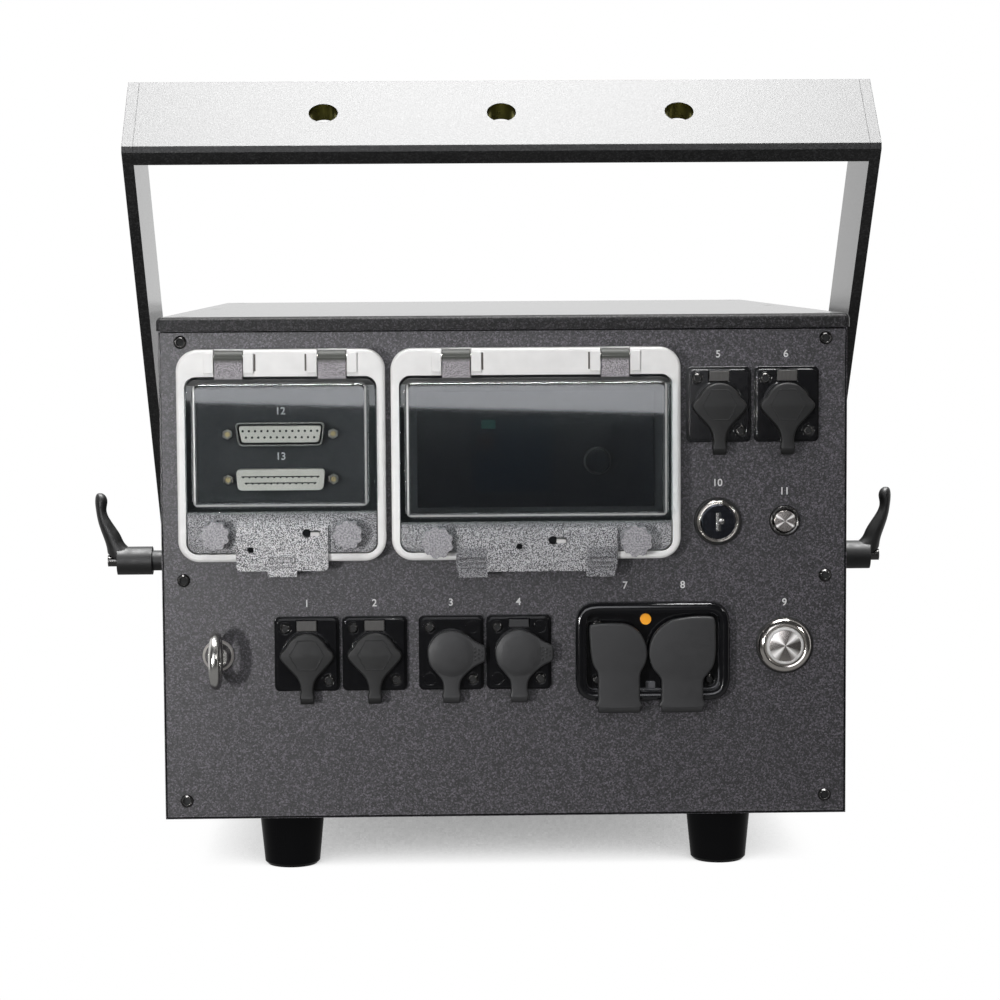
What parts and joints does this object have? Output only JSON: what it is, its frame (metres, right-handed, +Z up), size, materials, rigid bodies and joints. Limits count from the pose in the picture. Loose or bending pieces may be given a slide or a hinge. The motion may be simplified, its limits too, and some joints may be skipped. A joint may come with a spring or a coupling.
{
  "type": "laser show projector",
  "caption": "Sealed sheet-metal laser show projector in a tilting yoke with clamp levers, hinged clear rear windows, capped panel sockets, switches and a masked front beam window.",
  "frame": {"origin": "bottom centre of the overall box, at the plane the feet stand on", "axes": "+X right when facing the connector panel, +Y from the connector panel to the beam window, +Z up"},
  "size_m": [0.416, 0.4726, 0.357],
  "materials": {
    "powder_coat": "fine black textured powder coat",
    "black_rubber": "smooth moulded rubber",
    "black_plastic": "satin moulded plastic",
    "grey_plastic": "satin grey plastic",
    "white_plastic": "off-white moulded plastic",
    "clear_plastic": "clear moulded polycarbonate",
    "frosted_plastic": "frosted translucent plastic",
    "steel": "plain steel",
    "bright_metal": "bright plated metal",
    "amber_lens": "amber lens",
    "beam_glass": "coated flat glass",
    "anodised": "clear anodised",
    "mirror": "front-silvered mirror",
    "supply_case": "light filled case"
  },
  "bodies": {
    "housing": {"base_plate": "powder_coat", "side_panels": "powder_coat", "rear_panel": "powder_coat", "front_panel": "powder_coat", "top_cover": "powder_coat", "housing_screws": "steel", "rubber_feet": "black_rubber", "pivot_spacers": "powder_coat", "clamp_studs": "steel", "small_window_frame": "white_plastic", "large_window_frame": "white_plastic", "window_hinge_pins": "steel", "network_sockets": "black_plastic", "dmx_sockets": "black_plastic", "interlock_sockets": "black_plastic", "power_sockets": "black_plastic", "power_indicator": "amber_lens", "switch_housings": "bright_metal", "safety_eye": "steel", "signal_connectors": "bright_metal", "control_unit": "black_plastic", "aperture_window": "beam_glass", "aperture_bezel": "powder_coat", "optical_bench": "anodised", "laser_modules": "anodised", "beam_combiner": "mirror", "scanner_block": "anodised", "power_supply": "supply_case"},
    "yoke": {"yoke_bar": "powder_coat", "left_yoke_arm": "powder_coat", "right_yoke_arm": "powder_coat", "yoke_screws": "steel"},
    "left_lever": {"left_clamp_lever": "black_plastic"},
    "right_lever": {"right_clamp_lever": "black_plastic"},
    "small_cover": {"small_window_cover": "clear_plastic"},
    "small_left_knob": {"small_left_knob": "frosted_plastic"},
    "small_right_knob": {"small_right_knob": "frosted_plastic"},
    "large_cover": {"large_window_cover": "clear_plastic"},
    "large_left_knob": {"large_left_knob": "frosted_plastic"},
    "large_right_knob": {"large_right_knob": "frosted_plastic"},
    "network_first_cap": {"network_first_cap": "black_rubber"},
    "network_first_latch": {"network_first_latch": "grey_plastic"},
    "network_second_cap": {"network_second_cap": "black_rubber"},
    "network_second_latch": {"network_second_latch": "grey_plastic"},
    "dmx_in_cap": {"dmx_in_cap": "black_rubber"},
    "dmx_out_cap": {"dmx_out_cap": "black_rubber"},
    "dmx_out_latch": {"dmx_out_latch": "grey_plastic"},
    "interlock_thru_cap": {"interlock_thru_cap": "black_rubber"},
    "interlock_thru_latch": {"interlock_thru_latch": "grey_plastic"},
    "interlock_in_cap": {"interlock_in_cap": "black_rubber"},
    "interlock_in_latch": {"interlock_in_latch": "grey_plastic"},
    "power_inlet_cap": {"power_inlet_cap": "black_rubber"},
    "power_outlet_cap": {"power_outlet_cap": "black_rubber"},
    "key_barrel": {"key_barrel": "bright_metal"},
    "safety_button": {"safety_button": "bright_metal"},
    "power_button": {"power_button": "bright_metal"},
    "control_knob": {"control_knob": "black_plastic"},
    "aperture_mask": {"aperture_mask": "powder_coat"},
    "x_scan_mirror": {"x_scan_mirror": "mirror"},
    "y_scan_mirror": {"y_scan_mirror": "mirror"}
  },
  "joints": [
    {"name": "yoke_tilt", "type": "hinge", "parent": "housing", "child": "yoke", "pos_m": [0, 0.0034, 0.1205], "axis": [1, 0, 0], "range_deg": [-131, 48.9]},
    {"name": "left_lever_turn", "type": "hinge", "parent": "housing", "child": "left_lever", "pos_m": [-0.18, 0.0034, 0.1205], "axis": [1, 0, 0], "range_deg": [-90, 90]},
    {"name": "right_lever_turn", "type": "hinge", "parent": "housing", "child": "right_lever", "pos_m": [0.18, 0.0034, 0.1205], "axis": [1, 0, 0], "range_deg": [-90, 90]},
    {"name": "small_cover_open", "type": "hinge", "parent": "housing", "child": "small_cover", "pos_m": [-0.0994, -0.2126, 0.2333], "axis": [-1, 0, 0], "range_deg": [0, 105]},
    {"name": "small_left_knob_turn", "type": "hinge", "parent": "small_cover", "child": "small_left_knob", "pos_m": [-0.1288, -0.2198, 0.1548], "axis": [0, 1, 0], "range_deg": [0, 90]},
    {"name": "small_right_knob_turn", "type": "hinge", "parent": "small_cover", "child": "small_right_knob", "pos_m": [-0.07, -0.2198, 0.1548], "axis": [0, 1, 0], "range_deg": [0, 90]},
    {"name": "large_cover_open", "type": "hinge", "parent": "housing", "child": "large_cover", "pos_m": [0.0139, -0.2126, 0.2333], "axis": [-1, 0, 0], "range_deg": [0, 105]},
    {"name": "large_left_knob_turn", "type": "hinge", "parent": "large_cover", "child": "large_left_knob", "pos_m": [-0.0303, -0.2198, 0.151], "axis": [0, 1, 0], "range_deg": [0, 90]},
    {"name": "large_right_knob_turn", "type": "hinge", "parent": "large_cover", "child": "large_right_knob", "pos_m": [0.0581, -0.2198, 0.151], "axis": [0, 1, 0], "range_deg": [0, 90]},
    {"name": "network_first_cap_open", "type": "hinge", "parent": "housing", "child": "network_first_cap", "pos_m": [-0.0893, -0.2116, 0.08], "axis": [1, 0, 0], "range_deg": [0, 120]},
    {"name": "network_first_latch_press", "type": "slide", "parent": "housing", "child": "network_first_latch", "axis": [0, 1, 0], "range_m": [0, 0.0015], "stiffness_N_per_m": 250},
    {"name": "network_second_cap_open", "type": "hinge", "parent": "housing", "child": "network_second_cap", "pos_m": [-0.0589, -0.2116, 0.08], "axis": [1, 0, 0], "range_deg": [0, 120]},
    {"name": "network_second_latch_press", "type": "slide", "parent": "housing", "child": "network_second_latch", "axis": [0, 1, 0], "range_m": [0, 0.0015], "stiffness_N_per_m": 250},
    {"name": "dmx_in_cap_open", "type": "hinge", "parent": "housing", "child": "dmx_in_cap", "pos_m": [-0.0245, -0.2116, 0.08], "axis": [1, 0, 0], "range_deg": [0, 120]},
    {"name": "dmx_out_cap_open", "type": "hinge", "parent": "housing", "child": "dmx_out_cap", "pos_m": [0.0059, -0.2116, 0.08], "axis": [1, 0, 0], "range_deg": [0, 120]},
    {"name": "dmx_out_latch_press", "type": "slide", "parent": "housing", "child": "dmx_out_latch", "axis": [0, 1, 0], "range_m": [0, 0.0015], "stiffness_N_per_m": 250},
    {"name": "interlock_thru_cap_open", "type": "hinge", "parent": "housing", "child": "interlock_thru_cap", "pos_m": [0.096, -0.2116, 0.1908], "axis": [1, 0, 0], "range_deg": [0, 120]},
    {"name": "interlock_thru_latch_press", "type": "slide", "parent": "housing", "child": "interlock_thru_latch", "axis": [0, 1, 0], "range_m": [0, 0.0015], "stiffness_N_per_m": 250},
    {"name": "interlock_in_cap_open", "type": "hinge", "parent": "housing", "child": "interlock_in_cap", "pos_m": [0.1264, -0.2116, 0.1908], "axis": [1, 0, 0], "range_deg": [0, 120]},
    {"name": "interlock_in_latch_press", "type": "slide", "parent": "housing", "child": "interlock_in_latch", "axis": [0, 1, 0], "range_m": [0, 0.0015], "stiffness_N_per_m": 250},
    {"name": "power_inlet_cap_open", "type": "hinge", "parent": "housing", "child": "power_inlet_cap", "pos_m": [0.0506, -0.2138, 0.0751], "axis": [1, 0, 0], "range_deg": [0, 120]},
    {"name": "power_outlet_cap_open", "type": "hinge", "parent": "housing", "child": "power_outlet_cap", "pos_m": [0.079, -0.2138, 0.0751], "axis": [1, 0, 0], "range_deg": [0, 120]},
    {"name": "key_turn", "type": "hinge", "parent": "housing", "child": "key_barrel", "pos_m": [0.0957, -0.2058, 0.1581], "axis": [0, 1, 0], "range_deg": [0, 90]},
    {"name": "safety_button_press", "type": "slide", "parent": "housing", "child": "safety_button", "axis": [0, 1, 0], "range_m": [0, 0.0015], "stiffness_N_per_m": 400},
    {"name": "power_button_press", "type": "slide", "parent": "housing", "child": "power_button", "axis": [0, 1, 0], "range_m": [0, 0.002], "stiffness_N_per_m": 400},
    {"name": "control_knob_turn", "type": "hinge", "parent": "housing", "child": "control_knob", "pos_m": [0.0415, -0.2118, 0.186], "axis": [0, 1, 0], "continuous": true},
    {"name": "aperture_mask_slide", "type": "slide", "parent": "housing", "child": "aperture_mask", "axis": [0, 0, 1], "range_m": [0, 0.02]},
    {"name": "x_scan", "type": "hinge", "parent": "housing", "child": "x_scan_mirror", "pos_m": [0, 0.1622, 0.1464], "axis": [0, 0, 1], "range_deg": [-12.5, 12.5]},
    {"name": "y_scan", "type": "hinge", "parent": "housing", "child": "y_scan_mirror", "pos_m": [0.01, 0.1762, 0.1464], "axis": [1, 0, 0], "range_deg": [-12.5, 12.5]}
  ]
}
